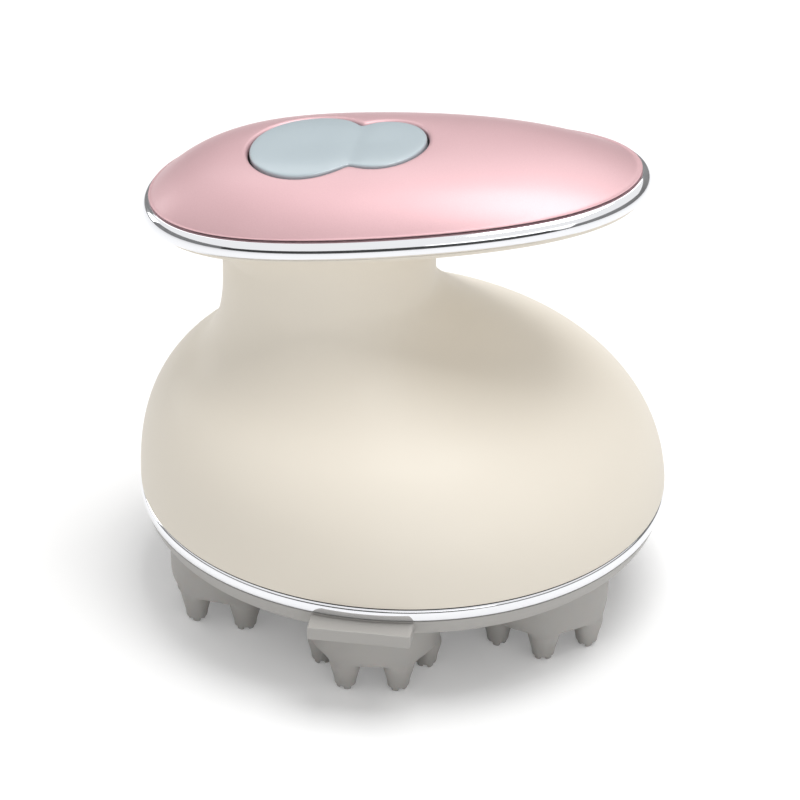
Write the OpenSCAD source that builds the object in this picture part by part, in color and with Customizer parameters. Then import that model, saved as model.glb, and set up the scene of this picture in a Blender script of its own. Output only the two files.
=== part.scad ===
// Electric scalp massager: a palm pad on a neck, a round body and six turning heads.
// Millimetres, +Z up. The fingertips stand on Z = 0, the pad runs along X with its
// pointed end at +X, and the pull tab points to -Y. X = Y = 0 is the middle of the footprint.

/* [Body] */
// Radius of the casing where it meets the seal
casing_r = 52.3; // [50:0.1:56]
// Height of the seal line above the surface it stands on
seal_z = 22.8; // [22:0.1:25]
// Wall thickness of the casing
casing_wall = 2.4; // [1.6:0.1:2.8]
// Radius of the neck
neck_r = 20.8; // [20:0.1:23]
// Distance of the neck axis from the body axis, towards the blunt end
neck_back = 15.25; // [13:0.25:16]
// Height above the seal line where the neck stands upright
neck_start = 42; // [40:0.5:45]
// Height above the seal line where the neck begins to flare into the pad
neck_end = 49; // [47:0.5:51]

/* [Palm pad] */
// Length of the pearl cover
pad_len = 96.6; // [90:0.2:100]
// Width of the pearl cover
pad_width = 52; // [48:0.2:58]
// Distance of the pad's middle from the body axis, towards the blunt end
pad_back = 2.2; // [0:0.1:4]
// Slope of the pad, rising towards its pointed end
pad_tilt = 6.8; // [4:0.2:8]
// Height of the underside of the trim ring above the seal line, over the neck
pad_rise = 59.5; // [57:0.5:63]
// Height of the pearl cover above the trim ring
dome_rise = 8.2; // [7:0.1:10]
// Wall thickness of the pearl cover
cover_wall = 2.2; // [1.6:0.1:2.6]
// Height of the chrome trim ring
trim_h = 3.6; // [3:0.1:5]
// How far the trim ring bulges past the pearl cover
trim_bulge = 1.5; // [1:0.1:2.6]
// How far the trim ring reaches in under the pearl cover
trim_depth = 2.4; // [2:0.1:3]

/* [Key] */
// Radius of the large lobe
lobe_big_r = 11.5; // [10:0.1:12]
// Radius of the small lobe
lobe_small_r = 8.8; // [8:0.1:9.6]
// Distance between the lobes' centres
lobe_pitch = 14; // [13:0.1:16]
// Radius of the hollow at the waist
waist_r = 0.8; // [0.7:0.1:3]
// How much wider than round the lobes are across the pad
lobe_stretch = 1.1; // [1:0.05:1.2]
// Distance of the waist from the body axis, towards the blunt end
waist_back = 8.9; // [7:0.1:11]
// Gap between the key and its opening
key_gap = 0.6; // [0.4:0.1:0.9]

/* [Head unit] */
// Number of massage heads
head_count = 6; // [6:6]
// Distance between the heads' bowls and the edge of the casing
rim_margin = 3.8; // [3:0.1:5]
// Width of the pull tab
tab_w = 19.8; // [14:0.2:24]
// How far the pull tab reaches past the chrome band
tab_reach = 3.8; // [3:0.1:6]
// Thickness of the pull tab
tab_t = 2.7; // [2:0.1:3]
// Height of the chrome band
band_h = 2.35; // [2:0.05:2.6]
// Thickness of the head plate's floor
plate_floor = 2; // [1.6:0.1:2.2]
// Height of the head plate's sloping rim
plate_rim = 3.8; // [3.4:0.1:4]

/* [Massage heads] */
// Radius of a head's bowl
bowl_r = 13; // [12:0.1:14]
// Height of the nubs on a fingertip
nub_h = 0.9; // [0.8:0.1:1.5]
// Height of a finger from its nubs to the bowl
finger_h = 5.1; // [4:0.1:5.5]
// Number of fingers on a head
finger_count = 6; // [4:1:6]
// Radius of the circle that the fingers stand on
finger_ring_r = 10.2; // [8.6:0.1:10.4]
// Radius of a finger where it leaves the bowl
finger_root_r = 3.2; // [2.4:0.1:3.4]
// Radius of a finger at its tip
finger_tip_r = 2.15; // [2:0.05:2.6]
// Turn of the front head on its shaft at rest
head_lead = 6; // [0:1:60]
// Extra turn of each further head at rest
head_step = 33; // [0:1:60]
// Radius of a nub at its foot
nub_r = 0.65; // [0.5:0.05:1]

/* [Drive] */
// Gear module that the head drive is nearest to
head_module = 1; // [0.8:0.1:1.2]
// Teeth on each head gear
head_gear_teeth = 20; // [20:1]
// Gear module that the motor stage is nearest to
motor_module = 0.5; // [0.4:0.05:0.6]
// Teeth on the motor pinion
pinion_teeth = 12; // [12:1]
// Face width of the head gears
gear_w = 3.2; // [2.8:0.1:3.4]
// Radius of a head shaft
shaft_r = 2.5; // [2:0.1:2.8]
// Radius of the drive shaft
drive_shaft_r = 3; // [2.5:0.1:3.5]
// Radius of the motor and its gearbox
motor_r = 12; // [10:0.5:12.5]
// Length of the motor can
motor_len = 28; // [24:1:30]
// Length of the gearbox
gearbox_len = 9; // [7:1:11]

/* [Power] */
// Diameter of the battery cell
cell_d = 14.2; // [12:0.2:15]
// Length of the battery cell
cell_len = 44; // [38:1:46]
// Radius of the charging socket's bore
socket_bore_r = 1.75; // [1.2:0.05:2]
// Depth of the charging socket's bore
socket_bore_len = 9; // [7:0.5:10]

/* [Fits] */
// Radial clearance of a turning shaft in its hole
run_fit = 0.05; // [0.02:0.01:0.08]
// Radial clearance of a pressed or glued piece
press_gap = 0.02; // [0.01:0.01:0.05]
// Gap between neighbouring pieces that move past each other
part_gap = 0.4; // [0.3:0.05:0.5]

/* [Hidden] */

cream = [0.93, 0.90, 0.85];
pearl_pink = [0.86, 0.66, 0.68];
soft_silver = [0.76, 0.82, 0.85];
bright_chrome = [0.86, 0.87, 0.89];
warm_grey = [0.64, 0.63, 0.61];
dark_rubber = [0.15, 0.15, 0.15];
board_green = [0.10, 0.36, 0.22];
gear_white = [0.92, 0.92, 0.88];
steel = [0.72, 0.73, 0.75];
brass = [0.80, 0.66, 0.36];

around = 72;                 // points round each lofted ring
turn = 360 / around;
fine = 48;                   // smoothness of round solids
eps = 0.01;

// Heights, counted up from the surface the fingertips stand on.
bowl_z = nub_h + finger_h;
band_z = seal_z - 0.3 - band_h;
plate_top_z = band_z - 0.15;
plate_z = plate_top_z - plate_rim;
bowl_h = plate_z - part_gap - bowl_z;
gear_z = plate_z + plate_floor + part_gap;
cover_lid_z = gear_z + gear_w + part_gap;
cover_lid_t = 1.4;
chassis_z = seal_z + 2;
chassis_t = 2.2;
deck_z = chassis_z + chassis_t;
neck_x = -neck_back;
pad_z = seal_z + pad_rise;

// Radii of the closing rings under the casing.
casing_in_r = casing_r - casing_wall;
skirt_r = casing_in_r + 0.8;
skirt_wall = 1.3;
band_wall = casing_r - skirt_r - 0.3;
plate_low_r = casing_r - 1.9;
tab_r = casing_r + tab_reach;
head_ring_r = casing_r - rim_margin - bowl_r;

// The pull tab makes the footprint uneven, so the whole part is shifted along Y.
foot_shift = tab_reach / 2;
module stand() translate([0, foot_shift, 0]) children();
// The pad leans on the neck: its pieces are drawn level, with Z = 0 at the rim of the casing.
module on_pad() stand() translate([neck_x, 0, pad_z]) rotate([0, -pad_tilt, 0])
    translate([-neck_x, 0, 0]) children();
function on_rim(p) = [neck_x + (p[0] - neck_x) * cos(pad_tilt) - p[2] * sin(pad_tilt), p[1],
    pad_z + (p[0] - neck_x) * sin(pad_tilt) + p[2] * cos(pad_tilt)];

// ---- outlines and lofts ----

// Egg outline of the pad at angle a, from the blunt end round by the -Y side.
function egg(a) = let (s = (1 - cos(a)) / 2)
    [-pad_back - pad_len / 2 * cos(a),
     -pad_width / 2 * sin(a) * (1.306 - 1.019 * s + 0.784 * s * s)];
function egg_normal(a) = let (d = egg(a + 0.5) - egg(a - 0.5)) [d[1], -d[0]] / norm(d);
function egg_inset(a, inset) = egg(a) - inset * egg_normal(a);
function egg_ring(inset, z) = [for (k = [0:around - 1]) let (p = egg_inset(k * turn, inset))
    [p[0], p[1], z]];
function rim_ring(inset, z) = [for (p = egg_ring(inset, z)) on_rim(p)];

// Height of the pearl dome over its rim: at a share of the way out, and at a point.
dome_x = -pad_back - 16;
function egg_share(x) = max(0, min(1, (x + pad_back) / pad_len + 0.5));
function egg_half(x) = let (s = egg_share(x))
    pad_width * sqrt(s * (1 - s)) * (1.306 - 1.019 * s + 0.784 * s * s);
function dome_at(share) = dome_rise * (1 - pow(min(share, 1), 3.7));
function egg_slope(x) = (egg_half(x + 0.1) - egg_half(x - 0.1)) / 0.2;
function in_egg(x, y, inset) = egg_half(x) - abs(y) > inset * sqrt(1 + pow(egg_slope(x), 2));
function share_of(x, y, inset = 0, low = 0, high = 1.1, steps = 14) = let (mid = (low + high) / 2,
        is_in = in_egg(dome_x + (x - dome_x) / mid, y / mid, inset))
    steps == 0 ? mid : is_in ? share_of(x, y, inset, low, mid, steps - 1)
    : share_of(x, y, inset, mid, high, steps - 1);
function dome(x, y) = dome_at(share_of(x, y));

// Rings of equal length skinned into one solid, with flat ends or closed on itself.
module skin(rings, closed = false) {
    n = len(rings[0]);
    m = len(rings);
    last = closed ? m - 1 : m - 2;
    sides = [for (i = [0:last], j = [0:n - 1])
        let (a = i * n + j, b = i * n + (j + 1) % n, c = ((i + 1) % m) * n + (j + 1) % n,
             d = ((i + 1) % m) * n + j)
        each [[a, c, b], [a, d, c]]];
    ends = closed ? [] : [[for (j = [0:n - 1]) j], [for (j = [n - 1:-1:0]) (m - 1) * n + j]];
    polyhedron([for (r = rings) each r], concat(sides, ends), convexity = 8);
}

// Point at t on a cubic curve through its first and last control points.
function bend(p, t) = pow(1 - t, 3) * p[0] + 3 * t * pow(1 - t, 2) * p[1]
    + 3 * t * t * (1 - t) * p[2] + pow(t, 3) * p[3];

// Side curves of the body, [x, height above the seal]: shoulder, then sweep to the neck.
neck_blunt = neck_x - neck_r;
neck_tail = neck_x + neck_r;
blunt_shoulder = [[-casing_r, 0], [-casing_r - 0.3, 10], [-casing_r + 1.1, 18.5],
    [-casing_r + 9.2, 25]];
blunt_sweep = [[-casing_r + 9.2, 25], [-casing_r + 13.5, 28.4], [neck_blunt, neck_start - 9],
    [neck_blunt, neck_start]];
tail_shoulder = [[casing_r, 0], [casing_r - 0.4, 11.2], [casing_r - 7.4, 20],
    [casing_r - 17.7, 25.3]];
tail_sweep = [[casing_r - 17.7, 25.3], [casing_r - 28.3, 30.8], [neck_tail + 2.6, neck_start - 6],
    [neck_tail, neck_start + 2]];

// Round section of the body between one point of each side curve, inset by a wall.
function body_ring(l, r, wall) = let (c = (l + r) / 2, h = (r - l) / 2, q = norm(h),
        g = h * (q - wall) / q)
    [for (k = [0:around - 1]) let (a = k * turn)
        [c[0] - g[0] * cos(a), -norm(g) * sin(a), seal_z + c[1] - g[1] * cos(a)]];
function neck_ring(z, wall) = [for (k = [0:around - 1]) let (a = k * turn)
    [neck_x - (neck_r - wall) * cos(a), -(neck_r - wall) * sin(a), z]];
// Flare from the neck to the pad's rim: upright at the neck, level with the rim at its edge.
function flare_ring(t, wall, lift, inset, top) = let (s = 1 - cos(90 * t),
        z0 = seal_z + neck_end + lift)
    [for (k = [0:around - 1]) let (a = k * turn, q = egg_inset(a, inset),
            p = on_rim([q[0], q[1], top]),
            n = [neck_x - (neck_r - wall) * cos(a), -(neck_r - wall) * sin(a)])
        [n[0] + (p[0] - n[0]) * s, n[1] + (p[1] - n[1]) * s, z0 + (p[2] - z0) * sin(90 * t)]];

shoulder_steps = [0, 0.14, 0.28, 0.42, 0.56, 0.7, 0.85];
sweep_steps = [0, 0.17, 0.34, 0.5, 0.67, 0.84, 1];
flare_steps = [0, 0.15, 0.3, 0.45, 0.6, 0.75, 0.88, 1];
function body_rings(wall) = concat(
    [for (t = shoulder_steps) body_ring(bend(blunt_shoulder, t), bend(tail_shoulder, t), wall)],
    [for (t = sweep_steps) body_ring(bend(blunt_sweep, t), bend(tail_sweep, t), wall)]);
function reversed(list) = [for (i = [len(list) - 1:-1:0]) list[i]];

// ---- the key's outline ----

// Two lobes joined by a hollow arc on each side. Grown outwards, the hollow closes to a notch.
function hollow_r(grow) = max(waist_r - grow, 0.1);
function big_reach(grow) = lobe_big_r + grow + hollow_r(grow);
function small_reach(grow) = lobe_small_r + grow + hollow_r(grow);
function waist_along(grow) = (lobe_pitch * lobe_pitch + pow(big_reach(grow), 2)
    - pow(small_reach(grow), 2)) / (2 * lobe_pitch);
function waist_across(grow) = sqrt(pow(big_reach(grow), 2) - pow(waist_along(grow), 2));
big_x = -waist_back - waist_along(0);
small_x = big_x + lobe_pitch;
function arc(c, r, from, to, n) = [for (i = [0:n - 1]) let (a = from + (to - from) * i / n)
    [c[0] + r * cos(a), lobe_stretch * (c[1] + r * sin(a))]];
function key_outline(grow) = let (u = waist_along(grow), v = waist_across(grow),
        big_turn = atan2(v, u), small_turn = atan2(v, lobe_pitch - u), h = hollow_r(grow))
    concat(
        arc([big_x, 0], lobe_big_r + grow, big_turn, 360 - big_turn, 22),
        arc([big_x + u, -v], h, 180 - big_turn, small_turn, 4),
        arc([small_x, 0], lobe_small_r + grow, small_turn - 180, 180 - small_turn, 18),
        arc([big_x + u, v], h, -small_turn, big_turn - 180, 4));
function key_ring(grow, z) = [for (p = key_outline(grow)) [p[0], p[1], z]];
function key_dome_ring(grow, lift) = [for (p = key_outline(grow))
    [p[0], p[1], trim_h + dome(p[0], p[1]) + lift]];
function key_crown_ring(share, lift) = [for (p = key_outline(-0.8))
    let (x = -waist_back + share * (p[0] + waist_back), y = share * p[1])
    [x, y, trim_h + dome(x, y) + lift]];

// Heights in the pad, counted up from the casing's rim.
rock_r = 0.75;
seal_sheet = 0.4;
key_floor_z = trim_h + dome_rise - 5;
seal_top_z = key_floor_z - rock_r - 0.03;
tray_floor_z = seal_top_z - seal_sheet - 1.01;
board_top_z = tray_floor_z - 2.7;

// ---- gears ----

sun_teeth = round(2 * head_ring_r / head_module) - head_gear_teeth;
drive_module = 2 * head_ring_r / (sun_teeth + head_gear_teeth);
wheel_teeth = round(2 * neck_back / motor_module) - pinion_teeth;
wheel_module = 2 * neck_back / (wheel_teeth + pinion_teeth);
wheel_tip_r = (wheel_teeth / 2 + 0.9) * wheel_module;
// Flat outline of a spur gear with straight-flanked teeth, one tooth centred at angle 0.
module gear_outline(teeth, m) {
    pitch_r = teeth * m / 2;
    tooth = 360 / teeth;
    polygon([for (k = [0:teeth - 1]) each [
        for (s = [[-0.36, -1.2], [-0.215, 0], [-0.105, 0.9], [0.105, 0.9], [0.215, 0], [0.36, -1.2]])
            let (a = (k + s[0]) * tooth, r = pitch_r + s[1] * m) r * [cos(a), sin(a)]]]);
}
// Turn that puts a gear's gap on the tooth of a fixed gear, seen in direction d from it.
function mesh_turn(d, fixed_teeth, teeth) = (d * fixed_teeth + (d + 180) * teeth - 180) / teeth;

// ---- places ----

function head_dir(k) = 270 + (k - 1) * 360 / head_count;
module at_head(k) rotate(head_dir(k)) translate([head_ring_r, 0, 0]) children();
module at_each_head() for (k = [1:head_count]) at_head(k) children();
screw_ring_r = skirt_r - skirt_wall - 7.4;
module at_each_cover_screw() for (k = [1:head_count])
    rotate(head_dir(k) + 180 / head_count) translate([screw_ring_r, 0, 0]) children();
lug_ring_r = casing_in_r - 3;
module at_each_lug() for (a = [52, 128, 232, 308]) rotate(a) translate([lug_ring_r, 0, 0]) children();
module post(r, from, to) translate([0, 0, from]) cylinder(r = r, h = to - from, $fn = fine);

// ---- pad ----

// Pink pearl shell of the palm pad: a dome on an egg outline, with a lip inside the trim ring.
dome_shares = [0.12, 0.42, 0.6, 0.73, 0.83, 0.9, 0.95, 0.985, 1];
inner_shares = [0.12, 0.42, 0.62, 0.78, 0.9, 0.97, 1];
groove = 0.3;
function dome_ring(share, inset, from, rise) = [for (k = [0:around - 1])
    let (p = egg_inset(k * turn, inset))
    [dome_x + share * (p[0] - dome_x), share * p[1], from + rise * dome_at(share) / dome_rise]];
module pearl_cover() on_pad() color(pearl_pink) difference() {
    skin(concat(
        [for (s = inner_shares)
            dome_ring(s, trim_depth + 1.8, trim_h, dome_rise - cover_wall)],
        [egg_ring(trim_depth + 1.8, 0.6), egg_ring(trim_depth + 0.3, 0.6),
         egg_ring(trim_depth + 0.3, trim_h), egg_ring(0.5, trim_h), egg_ring(0.5, trim_h + groove)],
        [for (s = reversed(dome_shares))
            dome_ring(s, 0.1, trim_h + groove, dome_rise - groove)]));
    skin([key_ring(key_gap, tray_floor_z - 9), key_dome_ring(key_gap, -0.9),
        key_dome_ring(key_gap + 0.7, 0.2), key_ring(key_gap + 0.7, trim_h + dome_rise + 9)]);
}

// Polished ring round the pad, clamped between the casing's rim and the pearl cover.
trim_section = [[-1, 0], [0.35, 0], [0.7, 0.1], [0.93, 0.25], [1, 0.42], [0.97, 0.6], [0.8, 0.8],
    [0.5, 0.94], [0.12, 1], [-1, 1]];
module trim_ring() on_pad() color(bright_chrome)
    skin([for (p = trim_section)
        egg_ring(p[0] < 0 ? trim_depth : -p[0] * trim_bulge, trim_h * p[1])], closed = true);

// Two-lobed rocker key: presses the switch under either lobe.
key_crown_flat = [for (p = key_outline(-0.8)) [-waist_back + 0.2 * (p[0] + waist_back), 0.2 * p[1],
    trim_h + dome(-waist_back, 0) + 0.2]];
module power_key() on_pad() color(soft_silver)
    skin(concat([key_ring(-0.5, key_floor_z), key_ring(0, key_floor_z + 0.4),
        key_dome_ring(0, -0.6), key_dome_ring(-0.25, -0.1)],
        [for (s = [1, 0.8, 0.5]) key_crown_ring(s, 0.2)], [key_crown_flat]));

// Soft sheet under the key, with a bar at the waist that the key rocks on.
module key_seal() on_pad() color(dark_rubber) {
    translate([0, 0, seal_top_z - seal_sheet]) linear_extrude(seal_sheet) polygon(key_outline(0.6));
    translate([-waist_back, 0, seal_top_z]) rotate([90, 0, 0])
        linear_extrude(14, center = true) intersection() {
            circle(rock_r, $fn = 24);
            translate([-rock_r, -seal_sheet / 2]) square([2 * rock_r, 2 * rock_r]);
        }
}

// Tray glued under the pearl cover: carries the soft sheet and the switch board.
function under_cover_ring(grow) = [for (p = key_outline(grow))
    let (rise = dome_at(share_of(p[0], p[1], trim_depth + 1.8)) / dome_rise)
    [p[0], p[1], trim_h + (dome_rise - cover_wall) * rise - 0.2]];
module key_tray() on_pad() color(warm_grey) difference() {
    union() {
        skin([key_ring(2.6, tray_floor_z), under_cover_ring(2.6), under_cover_ring(0.9),
            key_ring(0.9, tray_floor_z + 1)]);
        for (y = [-6, 6]) translate([-waist_back, y, 0]) post(2.2, board_top_z, tray_floor_z + eps);
    }
    for (x = [big_x, small_x]) translate([x, 0, 0]) post(2, tray_floor_z - 1, tray_floor_z + 2);
}

// Small board with one tact switch under each lobe.
tact_board = [36, 18, 1.2];
tact_w = 6;
tact_h = 1.9;
tact_button_r = 1.5;
module switch_board() on_pad() {
    color(board_green) translate([-waist_back - tact_board[0] / 2, -tact_board[1] / 2,
        board_top_z - tact_board[2]]) cube(tact_board);
    for (x = [big_x, small_x]) translate([x, 0, 0]) {
        color(dark_rubber) translate([-tact_w / 2, -tact_w / 2, board_top_z])
            cube([tact_w, tact_w, tact_h]);
        color(warm_grey) post(tact_button_r, board_top_z + tact_h, tray_floor_z + 0.9);
    }
}

// ---- casing ----

// Cream casing in one flowing shell: round body, neck and the underside of the pad.
module casing() stand() color(cream) difference() {
    union() {
        skin(concat(
            body_rings(0),
            [for (t = flare_steps) flare_ring(t, 0, 0, 0.6, -1.3)],
            [rim_ring(0.2, -0.4), rim_ring(0.2, 0), rim_ring(trim_depth + 2.2, 0)],
            [for (t = [1, 0.85, 0.65, 0.45, 0.25, 0]) flare_ring(t, casing_wall, 1.9, 5, 0)],
            reversed(body_rings(casing_wall))), closed = true);
        at_each_lug() post(3.3, deck_z, deck_z + 6);
    }
    at_each_lug() post(1, deck_z - 1, deck_z + 5);
    socket_place() rotate([-90, 0, 0]) cylinder(r = socket_nose_r + 0.2, h = 20, $fn = fine);
}

// Thin dark seal between the casing and the chrome band.
module casing_seal() stand() color(dark_rubber) difference() {
    post(casing_r - 0.35, seal_z - 0.3, seal_z);
    post(casing_in_r + 0.9, seal_z - 1, seal_z + 1);
}

// Polished band under the seal, with a slightly crowned face.
module chrome_band() stand() color(bright_chrome) rotate_extrude($fn = 96)
    polygon([[casing_r - band_wall, band_z], [casing_r - 0.15, band_z],
        [casing_r + 0.1, band_z + 0.25 * band_h], [casing_r + 0.1, band_z + 0.75 * band_h],
        [casing_r - 0.15, band_z + band_h], [casing_r - band_wall, band_z + band_h]]);

// Round deck that closes the casing and carries the drive, the battery and the board.
mount_posts = [60, 180, 300];
mount_post_r = 17;
mount_z = deck_z + 6.9;
deck_r = casing_in_r - 0.75;
board_z = deck_z + 5.4;
board_w = 24;
board_d = 17;
board_t = 1.6;
board_gap = 8.9;
board_y = casing_in_r - board_gap - board_d;
board_x = -13;
board_foot = 3;
board_post_r = 2;
module chassis() stand() color(warm_grey) difference() {
    union() {
        post(deck_r, chassis_z, deck_z);
        post(drive_shaft_r + 2.5, deck_z - eps, deck_z + 2.2);
        for (a = mount_posts) translate([neck_x, 0, 0]) rotate(a) translate([mount_post_r, 0, 0])
            post(2.5, deck_z - eps, mount_z);
        for (x = [board_foot, board_w - board_foot], y = [board_foot, board_d - board_foot])
            translate([board_x + x, board_y + y, 0]) post(board_post_r, deck_z - eps, board_z);
    }
    post(drive_shaft_r + run_fit, chassis_z - 1, deck_z + 5);
    at_each_lug() {
        post(1.15, chassis_z - 1, deck_z + 1);
        post(2.1, chassis_z - 1, chassis_z + 1.3);
    }
}

// Four screws that hold the deck to the casing's lugs.
module chassis_screws() stand() color(steel) at_each_lug() {
    post(1.9, chassis_z + 0.1, chassis_z + 1.3);
    post(1 - press_gap, chassis_z + 1.3 - eps, deck_z + 4.5);
}

// ---- head unit, which pulls off downwards by its tab ----

// Grey plate under the body: a dished floor with a sloping rim, a skirt and the pull tab.
module head_plate() stand() color(warm_grey) difference() {
    union() {
        rotate_extrude($fn = 96) polygon([[0, plate_z], [plate_low_r - 0.5, plate_z],
            [plate_low_r, plate_z + 0.4], [casing_r - 0.2, plate_top_z], [skirt_r, plate_top_z],
            [skirt_r, seal_z - 0.15], [skirt_r - skirt_wall, seal_z - 0.15],
            [skirt_r - skirt_wall, plate_z + plate_floor], [0, plate_z + plate_floor]]);
        translate([-tab_w / 2, -tab_r, plate_top_z - 0.3 - tab_t])
            cube([tab_w, tab_reach + 5, tab_t]);
        at_each_cover_screw() post(2.8, plate_z + 1, cover_lid_z);
    }
    at_each_head() post(shaft_r + run_fit, plate_z - 1, plate_z + 9);
    at_each_cover_screw() post(0.9, plate_z + plate_floor, cover_lid_z + 1);
}

// Lid over the head gears, with an opening that the sun gear stands in.
sun_tip_r = (sun_teeth / 2 + 0.9) * drive_module;
module gear_cover() stand() color(warm_grey) difference() {
    post(skirt_r - skirt_wall - 0.2, cover_lid_z, cover_lid_z + cover_lid_t);
    post(sun_tip_r + 0.7, cover_lid_z - 1, cover_lid_z + 3);
    at_each_head() post(shaft_r + run_fit, cover_lid_z - 1, cover_lid_z + 3);
    at_each_cover_screw() post(1, cover_lid_z - 1, cover_lid_z + 3);
}

// Screws that hold the lid to the plate's bosses.
module gear_cover_screws() stand() color(steel) at_each_cover_screw() {
    post(0.9 - press_gap, cover_lid_z - 3, cover_lid_z + cover_lid_t);
    post(1.8, cover_lid_z + cover_lid_t, cover_lid_z + cover_lid_t + 0.7);
}

// One of the gears that turn the heads.
module head_gear(k) stand() color(gear_white) translate([0, 0, gear_z]) at_head(k)
    difference() {
        rotate(mesh_turn(head_dir(k), sun_teeth, head_gear_teeth) - head_dir(k))
            linear_extrude(gear_w) gear_outline(head_gear_teeth, drive_module);
        post(shaft_r + press_gap, -1, gear_w + 1);
    }

// Steel shaft of one head.
shaft_low_z = bowl_z + 2;
module head_shaft(k) stand() color(steel) at_head(k)
    post(shaft_r, shaft_low_z, cover_lid_z + cover_lid_t - 0.3);

// Soft head: a round bowl with fingers, each ending in four nubs.
bowl_round = 1.2;
bowl_draft = 0.4;
rib_h = 3;
module finger() {
    translate([0, 0, nub_h]) {
        cylinder(r1 = finger_tip_r - 0.4, r2 = finger_tip_r, h = 0.5, $fn = 32);
        translate([0, 0, 0.5])
            cylinder(r1 = finger_tip_r, r2 = finger_root_r, h = finger_h + 0.3, $fn = 32);
        translate([0, 0, finger_h + 0.8 - eps])
            cylinder(r1 = finger_root_r, r2 = finger_root_r - 0.6, h = rib_h, $fn = 32);
    }
    for (a = [45:90:315]) rotate(a) translate([finger_tip_r - nub_r - 0.1, 0, 0])
        cylinder(r1 = nub_r - 0.25, r2 = nub_r, h = nub_h + 0.6, $fn = 20);
}
module massage_head(k) stand() color(warm_grey) at_head(k) difference() {
    union() {
        rotate_extrude($fn = 72) polygon(concat([[0, bowl_z]],
            [for (a = [-90:22.5:0]) [bowl_r - bowl_draft - bowl_round, bowl_z + bowl_round]
                + bowl_round * [cos(a), sin(a)]],
            [[bowl_r, bowl_z + bowl_h], [0, bowl_z + bowl_h]]));
        for (i = [0:finger_count - 1])
            rotate(head_lead + (k - 1) * head_step + (i + 0.5) * 360 / finger_count)
                translate([finger_ring_r, 0, 0]) finger();
    }
    post(shaft_r + press_gap, shaft_low_z, bowl_z + bowl_h + 1);
}

// ---- drive ----

// Wide gear in the middle that turns all the heads, lightened between its hub and its rim.
sun_hub_r = drive_shaft_r + 3;
web_in_r = sun_hub_r + 5;
web_out_r = (sun_teeth / 2 - 1.2) * drive_module - 3.3;
module sun_gear() stand() color(gear_white) difference() {
    union() {
        translate([0, 0, gear_z]) linear_extrude(gear_w) gear_outline(sun_teeth, drive_module);
        post(sun_hub_r, gear_z, chassis_z - 0.3);
    }
    post(drive_shaft_r + press_gap, gear_z - 1, chassis_z + 1);
    for (a = [0:60:300]) rotate(a) translate([(web_in_r + web_out_r) / 2, 0, 0])
        post((web_out_r - web_in_r) / 2, gear_z - 1, gear_z + gear_w + 1);
}

// Steel shaft through the deck, from the sun gear to the drive wheel.
wheel_z = deck_z + 2.4;
wheel_w = 3;
module drive_shaft() stand() color(steel) post(drive_shaft_r, gear_z, wheel_z + wheel_w + 0.6);

// Wheel on the drive shaft, turned by the motor's pinion.
module drive_wheel() stand() color(gear_white) difference() {
    translate([0, 0, wheel_z]) linear_extrude(wheel_w) gear_outline(wheel_teeth, wheel_module);
    post(drive_shaft_r + press_gap, wheel_z - 1, wheel_z + wheel_w + 1);
}

// Brass pinion on the gearbox's output shaft.
pinion_shaft_r = 1;
module motor_pinion() stand() color(brass) translate([neck_x, 0, 0]) {
    translate([0, 0, wheel_z - 0.3]) rotate(mesh_turn(180, wheel_teeth, pinion_teeth))
        linear_extrude(wheel_w + 0.6) gear_outline(pinion_teeth, wheel_module);
    post(pinion_shaft_r, wheel_z, mount_z + mount_t + 3);
}

// Gearbox under the motor, with a boss that centres it in the mount.
mount_t = 1.5;
gearbox_z = mount_z + mount_t;
module gearbox() stand() color(steel) translate([neck_x, 0, 0]) difference() {
    union() {
        post(motor_r, gearbox_z, gearbox_z + gearbox_len);
        post(4, mount_z, gearbox_z + eps);
    }
    post(pinion_shaft_r + run_fit, mount_z - 1, mount_z + mount_t + 3.5);
}

// Motor can, standing up in the neck.
motor_z = gearbox_z + gearbox_len;
module motor() stand() color(bright_chrome) translate([neck_x, 0, 0]) {
    post(motor_r, motor_z, motor_z + motor_len - 1.5);
    post(motor_r - 1, motor_z + motor_len - 1.5 - eps, motor_z + motor_len);
    for (y = [-5, 5]) translate([-0.4, y - 1, motor_z + motor_len - eps]) cube([0.8, 2, 3]);
}

// Bracket on three posts of the deck that carries the gearbox.
module motor_mount() stand() color(steel) translate([neck_x, 0, mount_z]) difference() {
    union() {
        cylinder(r = motor_r + 0.5, h = mount_t, $fn = fine);
        for (a = mount_posts) rotate(a) translate([0, -3, 0]) cube([mount_post_r, 6, mount_t]);
        for (a = mount_posts) rotate(a) translate([mount_post_r, 0, 0])
            cylinder(r = 3, h = mount_t, $fn = fine);
    }
    translate([0, 0, -1]) cylinder(r = 4 + press_gap, h = mount_t + 2, $fn = fine);
}

// ---- power ----

cell_x = wheel_tip_r + 2.2 + cell_d / 2;
holder_floor = 1.6;
cell_z = deck_z + holder_floor + cell_d / 2;
// Rechargeable cell, lying across the body on the tail side.
module battery_cell() stand() color([0.25, 0.42, 0.66]) translate([cell_x, 0, cell_z])
    rotate([90, 0, 0]) {
        cylinder(d = cell_d, h = cell_len - 1, center = true, $fn = fine);
        cylinder(d = cell_d / 3, h = cell_len, center = true, $fn = fine);
    }

// Cradle on the deck: a floor, two side rails and an end wall at each end of the cell.
module battery_holder() stand() color(dark_rubber) difference() {
    translate([cell_x - cell_d / 2, -cell_len / 2 - 1.7, deck_z])
        cube([cell_d, cell_len + 3.4, holder_floor + 6]);
    translate([cell_x, 0, cell_z]) rotate([90, 0, 0])
        cylinder(d = cell_d + 0.1, h = cell_len + 0.2, center = true, $fn = fine);
    translate([cell_x, 0, deck_z + holder_floor + 12.5])
        cube([cell_d + 2, cell_len - 10, 20], center = true);
}

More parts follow.
